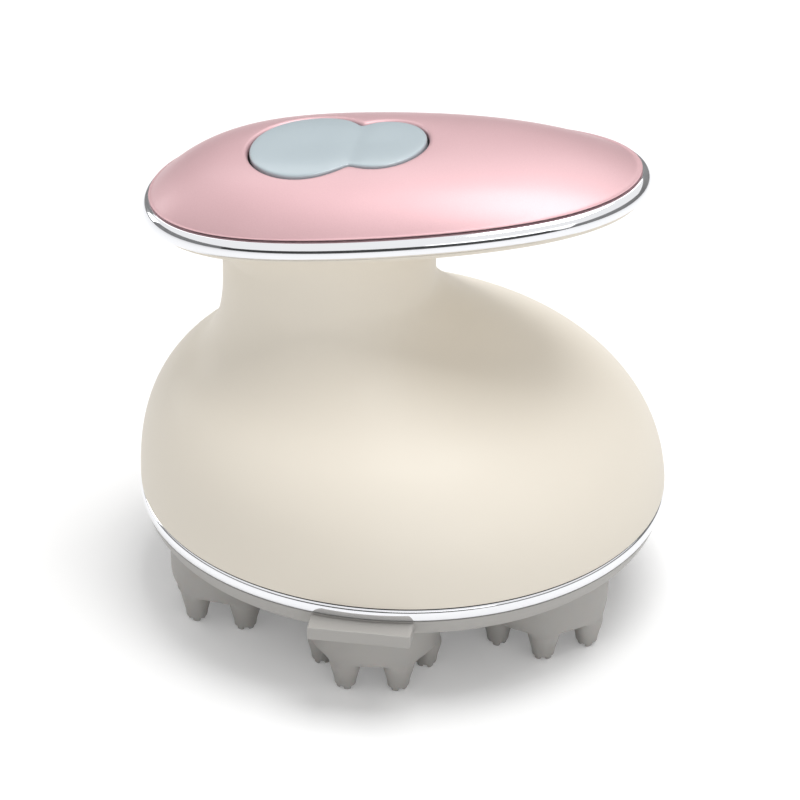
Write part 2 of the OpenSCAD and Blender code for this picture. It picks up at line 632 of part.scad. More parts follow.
// Control board behind the motor, on four posts of the deck.
chip = [6, 6, 1.4];
plug = [5, 4, 2.6];
module main_board() stand() {
    color(board_green) translate([board_x, board_y, board_z]) cube([board_w, board_d, board_t]);
    color(dark_rubber) translate([board_x + 2, board_y + 1.2, board_z + board_t]) cube(chip);
    color(brass) translate([board_x + board_w - 2 - plug[0], board_y + 2, board_z + board_t])
        cube(plug);
}

// Round charging socket on the board, reaching into a hole at the back of the casing.
socket_nose_r = 3.6;
socket_x = board_x + board_w / 2;
socket_w = 9;
socket_d = 8;
socket_h = 8;
socket_z = board_z + board_t + socket_h / 2;
// The casing's outer face lies this far back at a height above the seal line.
function casing_back(h) = lookup(h, [for (t = [0:0.05:1])
    let (l = bend(blunt_shoulder, t), r = bend(tail_shoulder, t))
    [(l[1] + r[1]) / 2, norm(r - l) / 2]]);
socket_face_y = casing_back(socket_z - seal_z) - 0.6;
socket_back_y = board_y + board_d - 1;
module socket_place() translate([socket_x, socket_back_y - 2, socket_z]) children();
module charging_socket() stand() color(dark_rubber) difference() {
    union() {
        translate([socket_x - socket_w / 2, socket_back_y - socket_d, board_z + board_t])
            cube([socket_w, socket_d, socket_h]);
        translate([socket_x, socket_back_y - 1, socket_z]) rotate([-90, 0, 0])
            cylinder(r = socket_nose_r, h = socket_face_y - socket_back_y + 1, $fn = fine);
    }
    translate([socket_x, socket_face_y + 1, socket_z]) rotate([90, 0, 0])
        cylinder(r = socket_bore_r, h = socket_bore_len + 1, $fn = fine);
}

pearl_cover();
trim_ring();
power_key();
key_seal();
key_tray();
switch_board();
casing();
casing_seal();
chrome_band();
chassis();
chassis_screws();
head_plate();
gear_cover();
gear_cover_screws();
sun_gear();
drive_shaft();
drive_wheel();
motor_pinion();
gearbox();
motor();
motor_mount();
battery_cell();
battery_holder();
main_board();
charging_socket();
head_gear(1);  // head_gear_1
head_gear(2);  // head_gear_2
head_gear(3);  // head_gear_3
head_gear(4);  // head_gear_4
head_gear(5);  // head_gear_5
head_gear(6);  // head_gear_6
head_shaft(1);  // head_shaft_1
head_shaft(2);  // head_shaft_2
head_shaft(3);  // head_shaft_3
head_shaft(4);  // head_shaft_4
head_shaft(5);  // head_shaft_5
head_shaft(6);  // head_shaft_6
massage_head(1);  // massage_head_1
massage_head(2);  // massage_head_2
massage_head(3);  // massage_head_3
massage_head(4);  // massage_head_4
massage_head(5);  // massage_head_5
massage_head(6);  // massage_head_6
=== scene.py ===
# Electric scalp massager: a pearl palm pad on a cream body, with turning heads under it.
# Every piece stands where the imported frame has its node. Sizes are real, in metres.
import math
import bmesh
import bpy
from mathutils import Matrix, Vector


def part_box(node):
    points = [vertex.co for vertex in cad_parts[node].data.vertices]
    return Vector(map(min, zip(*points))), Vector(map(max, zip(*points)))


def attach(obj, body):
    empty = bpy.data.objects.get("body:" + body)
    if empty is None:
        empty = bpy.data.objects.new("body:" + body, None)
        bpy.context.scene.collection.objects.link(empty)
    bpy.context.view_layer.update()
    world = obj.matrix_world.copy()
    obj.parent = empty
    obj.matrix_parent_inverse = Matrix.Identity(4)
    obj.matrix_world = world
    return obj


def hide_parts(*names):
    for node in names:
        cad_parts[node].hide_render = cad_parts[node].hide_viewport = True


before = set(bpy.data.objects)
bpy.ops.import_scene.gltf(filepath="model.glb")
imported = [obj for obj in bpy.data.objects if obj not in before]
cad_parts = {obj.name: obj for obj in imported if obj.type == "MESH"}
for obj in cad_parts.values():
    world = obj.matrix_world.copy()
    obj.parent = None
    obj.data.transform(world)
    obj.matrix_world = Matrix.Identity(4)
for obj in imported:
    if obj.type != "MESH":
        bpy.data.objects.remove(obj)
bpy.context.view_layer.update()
mm = 0.001


# ---- Studio: white floor, soft light from above, camera ----
# A seamless white floor and an even white room. One box hangs high over the object, weaker ones
# stand behind it, at its left and in front. Grey cards give the chrome its dark lines.
bpy.context.scene.view_settings.view_transform = "Standard"
room = bpy.data.worlds.new("Room")
bpy.context.scene.world = room
room.use_nodes = True


def eye_strength(tree, low, high):
    """A strength that is high for what camera and reflections see, and low for other light."""
    rays = tree.nodes.new("ShaderNodeLightPath")
    seen = rays.outputs["Is Camera Ray"]
    for kind in ("Is Glossy Ray", "Is Transmission Ray"):
        most = tree.nodes.new("ShaderNodeMath")
        most.operation = "MAXIMUM"
        tree.links.new(seen, most.inputs[0])
        tree.links.new(rays.outputs[kind], most.inputs[1])
        seen = most.outputs[0]
    level = tree.nodes.new("ShaderNodeMapRange")
    level.inputs["To Min"].default_value = low
    level.inputs["To Max"].default_value = high
    tree.links.new(seen, level.inputs["Value"])
    return level.outputs["Result"]


air = room.node_tree.nodes["Background"]
air.inputs["Color"].default_value = (1, 1, 1, 1)
room.node_tree.links.new(eye_strength(room.node_tree, 0.52, 1.0), air.inputs["Strength"])


def place_camera(name, position, target, lens, roll):
    """A camera at a place, aimed at a point and rolled about its own axis."""
    eye = bpy.data.objects.new(name, bpy.data.cameras.new(name))
    bpy.context.collection.objects.link(eye)
    turned = (Vector(target) - Vector(position)).to_track_quat("-Z", "Y").to_matrix()
    eye.matrix_world = (Matrix.Translation(position)
                        @ (turned @ Matrix.Rotation(roll, 3, "Z")).to_4x4())
    eye.data.lens = lens
    eye.data.clip_end = 20
    return eye


camera = place_camera("Camera", (0.1068, -0.7485, 0.4695), (0, 0.0019, 0.0228),
                      198, math.radians(1.03))
camera.data.sensor_width = 36
camera.data.shift_x = -0.00375
camera.data.shift_y = 0.0878
bpy.context.scene.camera = camera


def softbox(name, position, target, width, height, watts):
    """A rectangular lamp aimed at a point."""
    lamp = bpy.data.lights.new(name, "AREA")
    lamp.shape = "RECTANGLE"
    lamp.size, lamp.size_y, lamp.energy = width, height, watts
    box = bpy.data.objects.new(name, lamp)
    bpy.context.collection.objects.link(box)
    box.location = position
    box.rotation_euler = (Vector(target) - Vector(position)).to_track_quat("-Z", "Y").to_euler()


softbox("Overhead_box", (0.2, 0.03, 1.12), (0, 0, 0.04), 0.7, 0.6, 7.3)
softbox("Back_box", (-0.2, 0.9, 0.9), (0, 0, 0.08), 1.1, 0.6, 1.9)
softbox("Left_box", (-1.2, 0.75, 0.36), (0, 0, 0.08), 0.5, 0.4, 2.0)
softbox("Front_fill", (0.6, -1.3, 0.5), (0, 0, 0.04), 1.2, 0.6, 2.6)


def flag(name, corners, grey):
    """A card that only reflections show."""
    sheet = bpy.data.meshes.new(name)
    sheet.from_pydata([Vector(c) for c in corners], [], [(0, 1, 2, 3)])
    card = bpy.data.objects.new(name, sheet)
    bpy.context.collection.objects.link(card)
    paint = bpy.data.materials.new(name)
    paint.use_nodes = True
    shader = paint.node_tree.nodes["Principled BSDF"]
    shader.inputs["Base Color"].default_value = (grey, grey, grey, 1)
    shader.inputs["Roughness"].default_value = 1
    sheet.materials.append(paint)
    card.visible_camera = card.visible_diffuse = card.visible_shadow = False


# each card spans two angles of a circle, and the cards overlap so that no gap shows
flag_foot = 0.03
for name, shade, start, end, far, top in (
        ("Front_flag", 0.06, 222, 318, 1.8, 0.5), ("Left_flag", 0.3, 146, 226, 1.84, 0.6),
        ("Right_flag", 0.3, 314, 394, 1.84, 0.6), ("Back_flag", 0.3, 27, 153, 1.88, 0.6)):
    one, two = [(far * math.cos(math.radians(a)), far * math.sin(math.radians(a)))
                for a in (start, end)]
    flag(name, [(*one, flag_foot), (*two, flag_foot), (*two, top), (*one, top)], shade)

bpy.ops.object.select_all(action="DESELECT")
bpy.ops.mesh.primitive_plane_add(size=8)
floor = bpy.context.object
floor.name = "Floor"
sweep = bpy.data.materials.new("Studio_sweep")
sweep.use_nodes = True
floor.data.materials.append(sweep)
paper = sweep.node_tree.nodes["Principled BSDF"]
paper.inputs["Base Color"].default_value = (0.86, 0.86, 0.86, 1)
paper.inputs["Roughness"].default_value = 0.9
paper.inputs["Specular IOR Level"].default_value = 0.0
paper.inputs["Emission Color"].default_value = (1, 1, 1, 1)
sweep.node_tree.links.new(eye_strength(sweep.node_tree, 0.0, 0.18),
                          paper.inputs["Emission Strength"])


# ---- Casing: body, neck and underside of the pad ----
# One thin shell of cream plastic, moulded with a satin gloss. It is lofted from round sections
# that lean with the shoulders, drawn in to the neck and flared out to the pad's egg outline.
casing_r = 52.3 * mm
casing_wall = 2.4 * mm
seal_z = 22.8 * mm
foot_shift = 1.9 * mm
neck_r = 20.8 * mm
neck_x = -15.25 * mm
neck_start = 42 * mm
neck_end = 49 * mm
pad_len = 96.6 * mm
pad_width = 52 * mm
pad_back = 2.2 * mm
pad_tilt = math.radians(6.8)
pad_z = seal_z + 59.5 * mm
trim_depth = 2.4 * mm
around = 96
socket_x = -1 * mm
socket_z = 38 * mm
socket_nose_r = 3.6 * mm


def bend(p, t):
    """Point at t on a cubic curve."""
    return [(1 - t) ** 3 * p[0][i] + 3 * t * (1 - t) ** 2 * p[1][i]
            + 3 * t * t * (1 - t) * p[2][i] + t ** 3 * p[3][i] for i in (0, 1)]


def body_ring(left, right, wall=0.0):
    """Round section between one point of each side curve, drawn in by a wall."""
    half = [(right[0] - left[0]) / 2, (right[1] - left[1]) / 2]
    reach = math.hypot(*half)
    share = (reach - wall) / reach
    return [Vector(((left[0] + right[0]) / 2 - half[0] * share * math.cos(a),
                    foot_shift - (reach - wall) * math.sin(a),
                    seal_z + (left[1] + right[1]) / 2 - half[1] * share * math.cos(a)))
            for a in (2 * math.pi * k / around for k in range(around))]


def fullness(s):
    """How full the pad's outline is, from the blunt end at 0 to the pointed end at 1."""
    return 1.306 - 1.019 * s + 0.784 * s * s


def egg(a):
    """Pad outline at angle a, from the blunt end."""
    return Vector((-pad_back - pad_len / 2 * math.cos(a),
                   -pad_width / 2 * math.sin(a) * fullness((1 - math.cos(a)) / 2)))


def egg_inset(a, inset):
    """The same outline drawn in by an inset."""
    run = egg(a + 0.01) - egg(a - 0.01)
    return egg(a) - inset * Vector((run.y, -run.x)).normalized()


def on_pad(x, y, z):
    """A point of the level pad, leaned with the pad on the neck. Z counts from the casing's rim."""
    return Vector((neck_x + (x - neck_x) * math.cos(pad_tilt) - z * math.sin(pad_tilt),
                   y + foot_shift,
                   pad_z + (x - neck_x) * math.sin(pad_tilt) + z * math.cos(pad_tilt)))


def rim_ring(inset, z):
    """The outline on the pad's slope, drawn in by an inset."""
    return [on_pad(*egg_inset(2 * math.pi * k / around, inset), z) for k in range(around)]


def flare_ring(t, wall, lift, inset, top):
    """Section of the flare: upright at the neck, level with the pad's rim at its edge."""
    out, up = 1 - math.cos(t * math.pi / 2), math.sin(t * math.pi / 2)
    ring = []
    for k in range(around):
        a = 2 * math.pi * k / around
        edge = on_pad(*egg_inset(a, inset), top)
        x, y = neck_x - (neck_r - wall) * math.cos(a), foot_shift - (neck_r - wall) * math.sin(a)
        z = seal_z + neck_end + lift
        ring.append(Vector((x + (edge.x - x) * out, y + (edge.y - y) * out, z + (edge.z - z) * up)))
    return ring


def steps(first, last, count):
    """Evenly spaced numbers, both ends included."""
    return [first + (last - first) * i / (count - 1) for i in range(count)]


neck_blunt, neck_tail = neck_x - neck_r, neck_x + neck_r
blunt_shoulder = [(-casing_r, 0), (-casing_r - 0.3 * mm, 10 * mm),
                  (-casing_r + 1.1 * mm, 18.5 * mm), (-casing_r + 9.2 * mm, 25 * mm)]
blunt_sweep = [(-casing_r + 9.2 * mm, 25 * mm), (-casing_r + 13.5 * mm, 28.4 * mm),
               (neck_blunt, neck_start - 9 * mm), (neck_blunt, neck_start)]
tail_shoulder = [(casing_r, 0), (casing_r - 0.4 * mm, 11.2 * mm),
                 (casing_r - 7.4 * mm, 20 * mm), (casing_r - 17.7 * mm, 25.3 * mm)]
tail_sweep = [(casing_r - 17.7 * mm, 25.3 * mm), (casing_r - 28.3 * mm, 30.8 * mm),
              (neck_tail + 2.6 * mm, neck_start - 6 * mm), (neck_tail, neck_start + 2 * mm)]


def body_rings(wall, shoulder_steps, sweep_steps):
    """Sections of the body from its foot to the neck."""
    return ([body_ring(bend(blunt_shoulder, t), bend(tail_shoulder, t), wall)
             for t in shoulder_steps]
            + [body_ring(bend(blunt_sweep, t), bend(tail_sweep, t), wall) for t in sweep_steps])


def pull_through(name, rings, ends="joined"):
    """Pulls a loop through its sections, one extrude a section. The two ends are joined to each
    other, or the first is filled flat and the last drawn together to a point."""
    bpy.ops.object.select_all(action="DESELECT")
    bpy.ops.mesh.primitive_circle_add(vertices=len(rings[0]), radius=1)
    piece = bpy.context.object
    piece.name = piece.data.name = name
    for vertex, point in zip(piece.data.vertices, rings[0]):
        vertex.co = point
    bpy.ops.object.mode_set(mode="EDIT")
    bpy.ops.mesh.select_all(action="SELECT")
    for ring in rings[1:] + ([rings[0]] if ends == "joined" else []):
        bpy.ops.mesh.extrude_region()
        mesh = bmesh.from_edit_mesh(piece.data)
        for vertex, point in zip([v for v in mesh.verts if v.select], ring):
            vertex.co = point
        bmesh.update_edit_mesh(piece.data)
    if ends == "pointed":
        bpy.ops.mesh.merge(type="CENTER")
        bpy.ops.mesh.select_all(action="DESELECT")
        mesh = bmesh.from_edit_mesh(piece.data)
        mesh.verts.ensure_lookup_table()
        for vertex in mesh.verts[:len(rings[0])]:
            vertex.select = True
        mesh.select_flush(True)
        bpy.ops.mesh.edge_face_add()
    bpy.ops.mesh.select_all(action="SELECT")
    bpy.ops.mesh.remove_doubles(threshold=1e-6)
    bpy.ops.mesh.normals_make_consistent(inside=False)
    bpy.ops.object.mode_set(mode="OBJECT")
    return piece


def finish_with(piece, kind, **settings):
    """Adds a modifier and applies it."""
    bpy.ops.object.select_all(action="DESELECT")
    piece.select_set(True)
    bpy.context.view_layer.objects.active = piece
    step = piece.modifiers.new(kind, kind)
    for key, value in settings.items():
        setattr(step, key, value)
    bpy.ops.object.modifier_apply(modifier=step.name)


def round_off(piece, levels=1):
    """Subdivides a piece to its finished, smooth surface."""
    finish_with(piece, "SUBSURF", levels=levels, render_levels=levels, use_limit_surface=False)
    bpy.ops.object.shade_smooth()


class Value:
    """A shader socket that adds its own Math nodes when it stands in an expression."""

    def __init__(self, finish, socket):
        self.finish, self.socket = finish, socket

    def math(self, operation, *others):
        return self.finish.node("ShaderNodeMath", {"operation": operation}, [self, *others])

    def __add__(self, other): return self.math("ADD", other)
    __radd__ = __add__
    def __mul__(self, other): return self.math("MULTIPLY", other)
    __rmul__ = __mul__
    def __sub__(self, other): return self.math("SUBTRACT", other)
    def __rsub__(self, other): return self.finish.node(
        "ShaderNodeMath", {"operation": "SUBTRACT"}, [other, self])
    def __truediv__(self, other): return self.math("DIVIDE", other)
    def __gt__(self, other): return self.math("GREATER_THAN", other)
    def __lt__(self, other): return self.math("LESS_THAN", other)
    def __abs__(self): return self.math("ABSOLUTE")


class Finish:
    """A material with one Principled shader, and the nodes that a surface's detail needs."""

    def __init__(self, name, **sockets):
        self.material = bpy.data.materials.new(name)
        self.material.use_nodes = True
        self.tree = self.material.node_tree
        self.shader = self.tree.nodes["Principled BSDF"]
        for key, value in sockets.items():
            self.shader.inputs[key.replace("_", " ")].default_value = value

    def node(self, kind, settings=None, values=None, output=0):
        """Adds a node, makes its settings and then fills or links its sockets."""
        made = self.tree.nodes.new(kind)
        for key, value in (settings or {}).items():
            setattr(made, key, value)
        pairs = values.items() if isinstance(values, dict) else enumerate(values or ())
        for key, value in pairs:
            if isinstance(value, Value):
                self.tree.links.new(value.socket, made.inputs[key])
            else:
                made.inputs[key].default_value = value
        return Value(self, made.outputs[output])

    def place(self):
        """Object coordinates, which are the part's own metres."""
        return self.node("ShaderNodeTexCoord", output="Object")

    def along(self, axis):
        """One object coordinate, in metres."""
        split = self.node("ShaderNodeSeparateXYZ", values=[self.place()])
        return Value(self, split.socket.node.outputs["XYZ".index(axis)])

    def noise(self, scale, detail=2.0, roughness=0.5, stretch=(1, 1, 1)):
        """Noise from 0 to 1, with features about 1/scale metres across."""
        where = self.node("ShaderNodeMapping", values={"Vector": self.place(), "Scale": stretch})
        return self.node("ShaderNodeTexNoise", values={
            "Vector": where, "Scale": scale, "Detail": detail, "Roughness": roughness})

    def between(self, factor, low, high):
        """A colour mixed from two by a factor."""
        return self.node("ShaderNodeMix", {"data_type": "RGBA"}, {0: factor, 6: low, 7: high},
                         output=2)

    def feed(self, **sockets):
        """Links values to the shader's sockets."""
        for key, value in sockets.items():
            self.tree.links.new(value.socket, self.shader.inputs[key.replace("_", " ")])

    def emboss(self, height, distance):
        """A bump of real height, in metres, that gives the surface its feel."""
        self.feed(Normal=self.node("ShaderNodeBump", values={
            "Strength": 1.0, "Distance": distance, "Height": height}))


def wear(piece, finish):
    """Puts a finish on every slot of a piece or a CAD node."""
    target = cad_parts[piece] if isinstance(piece, str) else piece
    if not target.material_slots:
        target.data.materials.append(finish.material)
    for holder in target.material_slots:
        holder.material = finish.material


inner_steps = [0.998, 0.85, 0.65, 0.45, 0.25, 0]
casing = pull_through("Casing_shell", (
    [body_ring((-casing_r + 0.15 * mm, 0), (casing_r - 0.15 * mm, 0))]
    + body_rings(0, [0.006] + steps(0.05, 0.9, 15), steps(0, 1, 14))
    + [flare_ring(t, 0, 0, 0.6 * mm, -1.3 * mm) for t in steps(0.04, 1, 14)]
    + [rim_ring(0.3 * mm, -0.9 * mm), rim_ring(0.2 * mm, -0.4 * mm),
       rim_ring(0.22 * mm, -0.05 * mm), rim_ring(0.35 * mm, 0), rim_ring(trim_depth + 2.1 * mm, 0)]
    + [flare_ring(t, casing_wall, 1.9 * mm, 5 * mm, 0) for t in inner_steps]
    + list(reversed(body_rings(casing_wall, steps(0, 0.9, 8), steps(0, 1, 8))))))
round_off(casing)
bpy.ops.mesh.primitive_cylinder_add(vertices=64, radius=socket_nose_r + 0.2 * mm, depth=20 * mm,
                                    location=(socket_x, foot_shift + 48 * mm, socket_z),
                                    rotation=(math.pi / 2, 0, 0))
drill = bpy.context.object
finish_with(casing, "BOOLEAN", object=drill, solver="EXACT")
bpy.data.objects.remove(drill)
bpy.ops.object.shade_smooth_by_angle(angle=math.radians(35))

cream = Finish("Cream_satin_gloss", Roughness=0.55, Coat_Weight=0.1, Coat_Roughness=0.25,
               Specular_IOR_Level=0.35)
cream.feed(Base_Color=cream.between(cream.noise(26, 2), (0.812, 0.750, 0.648, 1),
                                    (0.842, 0.785, 0.688, 1)),
           Roughness=0.52 + 0.06 * cream.noise(420, 3))
cream.emboss(cream.noise(900, 2), 0.000012)
wear(casing, cream)
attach(casing, "body")
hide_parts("casing")


# ---- Seal and chrome band under the casing ----
# A thin black rubber line keeps water out of the joint. Below it runs a band of polished,
# plated plastic with a slightly crowned face, pressed on the skirt of the head plate.
band_h = 2.35 * mm
band_z = seal_z - 0.3 * mm - band_h
skirt_r = casing_r - casing_wall + 0.8 * mm
band_in_r = skirt_r + 0.3 * mm


def lathe(name, profile, centre=(0.0, foot_shift), turns=144, closed=True):
    """Spins a profile of (radius, height) points about an upright axis."""
    bpy.ops.object.select_all(action="DESELECT")
    bpy.ops.mesh.primitive_circle_add(vertices=len(profile), radius=1)
    piece = bpy.context.object
    piece.name = piece.data.name = name
    for vertex, (out, up) in zip(piece.data.vertices, profile):
        vertex.co = (centre[0] + out, centre[1], up)
    bpy.ops.object.mode_set(mode="EDIT")
    if not closed:
        # a profile that starts and ends on the axis has no edge along it
        mesh = bmesh.from_edit_mesh(piece.data)
        mesh.edges.remove([e for e in mesh.edges
                           if {v.index for v in e.verts} == {0, len(profile) - 1}][0])
        bmesh.update_edit_mesh(piece.data)
    bpy.ops.mesh.select_all(action="SELECT")
    bpy.ops.mesh.spin(steps=turns, angle=2 * math.pi, center=(centre[0], centre[1], 0),
                      axis=(0, 0, 1))
    bpy.ops.mesh.select_all(action="SELECT")
    bpy.ops.mesh.remove_doubles(threshold=1e-6)
    bpy.ops.mesh.normals_make_consistent(inside=False)
    bpy.ops.object.mode_set(mode="OBJECT")
    bpy.ops.object.shade_smooth_by_angle(angle=math.radians(38))
    return piece


seal = lathe("Seal_line", [(casing_r - casing_wall + 0.9 * mm, seal_z - 0.3 * mm),
                           (casing_r - 0.4 * mm, seal_z - 0.3 * mm),
                           (casing_r - 0.35 * mm, seal_z - 0.22 * mm),
                           (casing_r - 0.35 * mm, seal_z - 0.08 * mm),
                           (casing_r - 0.4 * mm, seal_z),
                           (casing_r - casing_wall + 0.9 * mm, seal_z)], turns=192)
black_rubber = Finish("Black_rubber", Roughness=0.62)
black_rubber.feed(Base_Color=black_rubber.between(
    black_rubber.noise(300, 3), (0.012, 0.012, 0.012, 1), (0.028, 0.027, 0.026, 1)))
black_rubber.emboss(black_rubber.noise(2600, 3), 0.00003)
wear(seal, black_rubber)
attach(seal, "body")
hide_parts("casing_seal")

crown = [(casing_r - 0.3 * mm + 0.4 * mm * math.sin(math.pi * s) ** 0.5, band_z + band_h * s)
         for s in steps(0, 1, 15)]
band = lathe("Chrome_band", [(band_in_r, band_z), (casing_r - 0.45 * mm, band_z)] + crown
             + [(casing_r - 0.45 * mm, band_z + band_h), (band_in_r, band_z + band_h)], turns=192)
chrome = Finish("Polished_chrome", Metallic=1.0, Roughness=0.06)
chrome.feed(Base_Color=chrome.between(chrome.noise(60, 2), (0.80, 0.81, 0.835, 1),
                                      (0.86, 0.865, 0.885, 1)),
            Roughness=0.035 + 0.05 * chrome.noise(700, 4, 0.6))
chrome.emboss(chrome.noise(180, 2), 0.000008)
wear(band, chrome)
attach(band, "body")
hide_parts("chrome_band")


# ---- Pearl cover of the palm pad ----
# A thin dome of pink plastic, sprayed with pearl lacquer under a clear coat. Its opening for
# the key has a soft edge, and a lip under the rim drops inside the chrome trim ring.
trim_h = 3.6 * mm
dome_rise = 8.2 * mm
cover_wall = 2.2 * mm
dome_x = -pad_back - 16 * mm
lobe_big_r = 11.5 * mm
lobe_small_r = 8.8 * mm
lobe_pitch = 14 * mm
lobe_stretch = 1.1
waist_x = -8.9 * mm
big_x = waist_x - (lobe_pitch ** 2 + (lobe_big_r + 0.8 * mm) ** 2
                   - (lobe_small_r + 0.8 * mm) ** 2) / (2 * lobe_pitch)
small_x = big_x + lobe_pitch
key_gap = 0.5 * mm
key_points = 192


def egg_half(x):
    """Half the pad's width at x."""
    s = max(0.0, min(1.0, (x + pad_back) / pad_len + 0.5))
    return pad_width * math.sqrt(s * (1 - s)) * fullness(s)


def search(is_low, low, high):
    """The place between low and high where a test turns from true to false."""
    for _ in range(26):
        middle = (low + high) / 2
        low, high = (middle, high) if is_low(middle) else (low, middle)
    return low


def dome(x, y, rise=dome_rise):
    """Height of the dome over the rim at a point."""
    share = search(lambda m: abs(y) / m >= egg_half(dome_x + (x - dome_x) / m), 1e-4, 1.1)
    return rise * (1 - min(share, 1) ** 3.7)


def lobe_reach(angle, centre, radius):
    """Distance from the waist along a ray to the far side of a stretched lobe."""
    dx, dy = math.cos(angle), math.sin(angle) / lobe_stretch
    offset = waist_x - centre
    a, b, c = dx * dx + dy * dy, offset * dx, offset * offset - radius * radius
    return (-b + math.sqrt(b * b - a * c)) / a


def key_point(angle, grow):
    """Point of the key's outline in one direction from the waist, grown outwards."""
    one = lobe_reach(angle, big_x, lobe_big_r + grow)
    two = lobe_reach(angle, small_x, lobe_small_r + grow)
    soft = 0.5 * mm
    reach = (one + two) / 2 + math.sqrt((one - two) ** 2 / 4 + soft ** 2)
    return Vector((waist_x + reach * math.cos(angle), reach * math.sin(angle)))


directions = []
for k in range(key_points):
    # more points where the lobes meet
    a = 2 * math.pi * k / key_points
    directions.append(a + 0.16 * math.sin(2 * a))
rim_at = []
for a in directions:
    reach = search(lambda m, a=a: abs(m * math.sin(a)) < egg_half(waist_x + m * math.cos(a))
                   and abs(waist_x + m * math.cos(a) + pad_back) < pad_len / 2, 0, 0.08)
    rim_at.append(Vector((waist_x + reach * math.cos(a), reach * math.sin(a))))


def rim_inset(inset):
    """The egg outline on the same directions, drawn in by an inset."""
    ring = []
    for k, point in enumerate(rim_at):
        run = rim_at[(k + 1) % key_points] - rim_at[k - 1]
        ring.append(point - inset * Vector((run.y, -run.x)).normalized())
    return ring


def mouth(grow, height):
    """Ring round the opening, at a height over the dome."""
    ring = []
    for a in directions:
        x, y = key_point(a, grow)
        ring.append(on_pad(x, y, trim_h + (dome(x, y) + height)))
    return ring


def dome_ring(share, grow, inset, rise, base):
    """Section of the dome between the opening and the rim."""
    ring = []
    for a, edge in zip(directions, rim_inset(inset)):
        x, y = key_point(a, grow).lerp(edge, share)
        ring.append(on_pad(x, y, base + dome(x, y, rise)))
    return ring


def level_ring(inset, z):
    """The rim, drawn in by an inset, at one height on the pad's slope."""
    return [on_pad(x, y, z) for x, y in rim_inset(inset)]


lip_in, lip_out = trim_depth + 1.8 * mm, trim_depth + 0.3 * mm
under_rise = dome_rise - cover_wall
cover = pull_through("Pearl_cover", (
    [mouth(key_gap, -1.9 * mm), mouth(key_gap, -1.0 * mm), mouth(key_gap + 0.05 * mm, -0.62 * mm),
     mouth(key_gap + 0.2 * mm, -0.34 * mm), mouth(key_gap + 0.42 * mm, -0.13 * mm),
     mouth(key_gap + 0.72 * mm, -0.03 * mm)]
    + [dome_ring(s, key_gap + 1.1 * mm, 0.12 * mm, dome_rise, trim_h)
       for s in (0, 0.04, 0.1, 0.18, 0.28, 0.39, 0.5, 0.6, 0.69, 0.77, 0.84, 0.89, 0.93, 0.96,
                 0.98)]
    + [level_ring(0.1 * mm, trim_h + 0.55 * mm), level_ring(0.12 * mm, trim_h + 0.36 * mm),
       level_ring(0.3 * mm, trim_h + 0.3 * mm), level_ring(0.5 * mm, trim_h + 0.28 * mm),
       level_ring(0.52 * mm, trim_h), level_ring(lip_out, trim_h), level_ring(lip_out, 0.65 * mm),
       level_ring(lip_out + 0.1 * mm, 0.6 * mm), level_ring(lip_in, 0.6 * mm),
       level_ring(lip_in, trim_h - 0.3 * mm)]
    + [dome_ring(s, key_gap + 0.5 * mm, lip_in, under_rise, trim_h)
       for s in (0.98, 0.88, 0.72, 0.5, 0.25, 0.05)]))
round_off(cover)
pearl = Finish("Pink_pearl_lacquer", Metallic=0.6, Roughness=0.5, Coat_Weight=0.35,
               Coat_Roughness=0.28)
flakes = pearl.noise(5200, 2, 0.7)
clouds = pearl.noise(34, 2)
pearl.feed(
    Base_Color=pearl.between(0.55 * flakes + 0.45 * clouds, (0.55, 0.335, 0.357, 1),
                             (0.71, 0.475, 0.498, 1)),
    Roughness=0.47 + 0.12 * pearl.noise(3000, 2))
pearl.emboss(pearl.noise(2400, 2, 0.6), 0.000012)
wear(cover, pearl)
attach(cover, "body")
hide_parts("pearl_cover")


# ---- Trim ring of the pad ----
# A moulded ring with bright chrome plating, clamped between the casing's rim and the pearl
# cover. Its face bulges most below the middle, so that it shows one dark and one bright line.
trim_bulge = 1.5 * mm
trim_face = [(0.3, 0), (0.56, 0.035), (0.76, 0.1), (0.91, 0.2), (0.99, 0.33), (1.0, 0.45),
             (0.95, 0.58), (0.84, 0.71), (0.68, 0.82), (0.48, 0.91), (0.27, 0.97), (0.1, 0.995),
             (-0.1, 1)]
trim = pull_through("Trim_ring", (
    [level_ring(trim_depth, 0.02 * mm), level_ring(trim_depth, 0), level_ring(0.1 * mm, 0)]
    + [level_ring(-out * trim_bulge, trim_h * up) for out, up in trim_face]
    + [level_ring(trim_depth - 0.1 * mm, trim_h), level_ring(trim_depth, trim_h - 0.1 * mm)]))
round_off(trim)
wear(trim, chrome)
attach(trim, "body")
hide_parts("trim_ring")


# ---- Power key ----
# One rocker of silver-blue plastic with two lobes. Its face follows the pad's dome, with a
# soft crease at the waist where it rocks, and its edge is rolled down all round.
key_floor = trim_h + dome_rise - 5 * mm
key_spare = 0.12 * mm    # the finished key is wider than its solid by this much all round
key_crown = 0.08 * mm
crease_depth = 0.26 * mm
dish_depth = 0.16 * mm


def key_ring(grow, share=1.0, drop=None, floor_at=None):
    """Section of the key: grown, drawn towards the waist, and a drop under its crowned face."""
    ring = []
    for a in directions:
        edge = key_point(a, grow + key_spare)
        x = waist_x + share * (edge.x - waist_x)
        y = share * edge.y
        if floor_at is not None:
            ring.append(on_pad(x, y, floor_at))
            continue
        crease = crease_depth * math.exp(-((x - waist_x) / (2.1 * mm)) ** 2)
        dish = dish_depth * (math.exp(-((x - big_x) ** 2 + y * y) / (7.5 * mm) ** 2)
                             + math.exp(-((x - small_x - 1 * mm) ** 2 + y * y) / (5 * mm) ** 2))
        ring.append(on_pad(x, y, trim_h + dome(x, y) + key_crown - crease - dish - drop))
    return ring


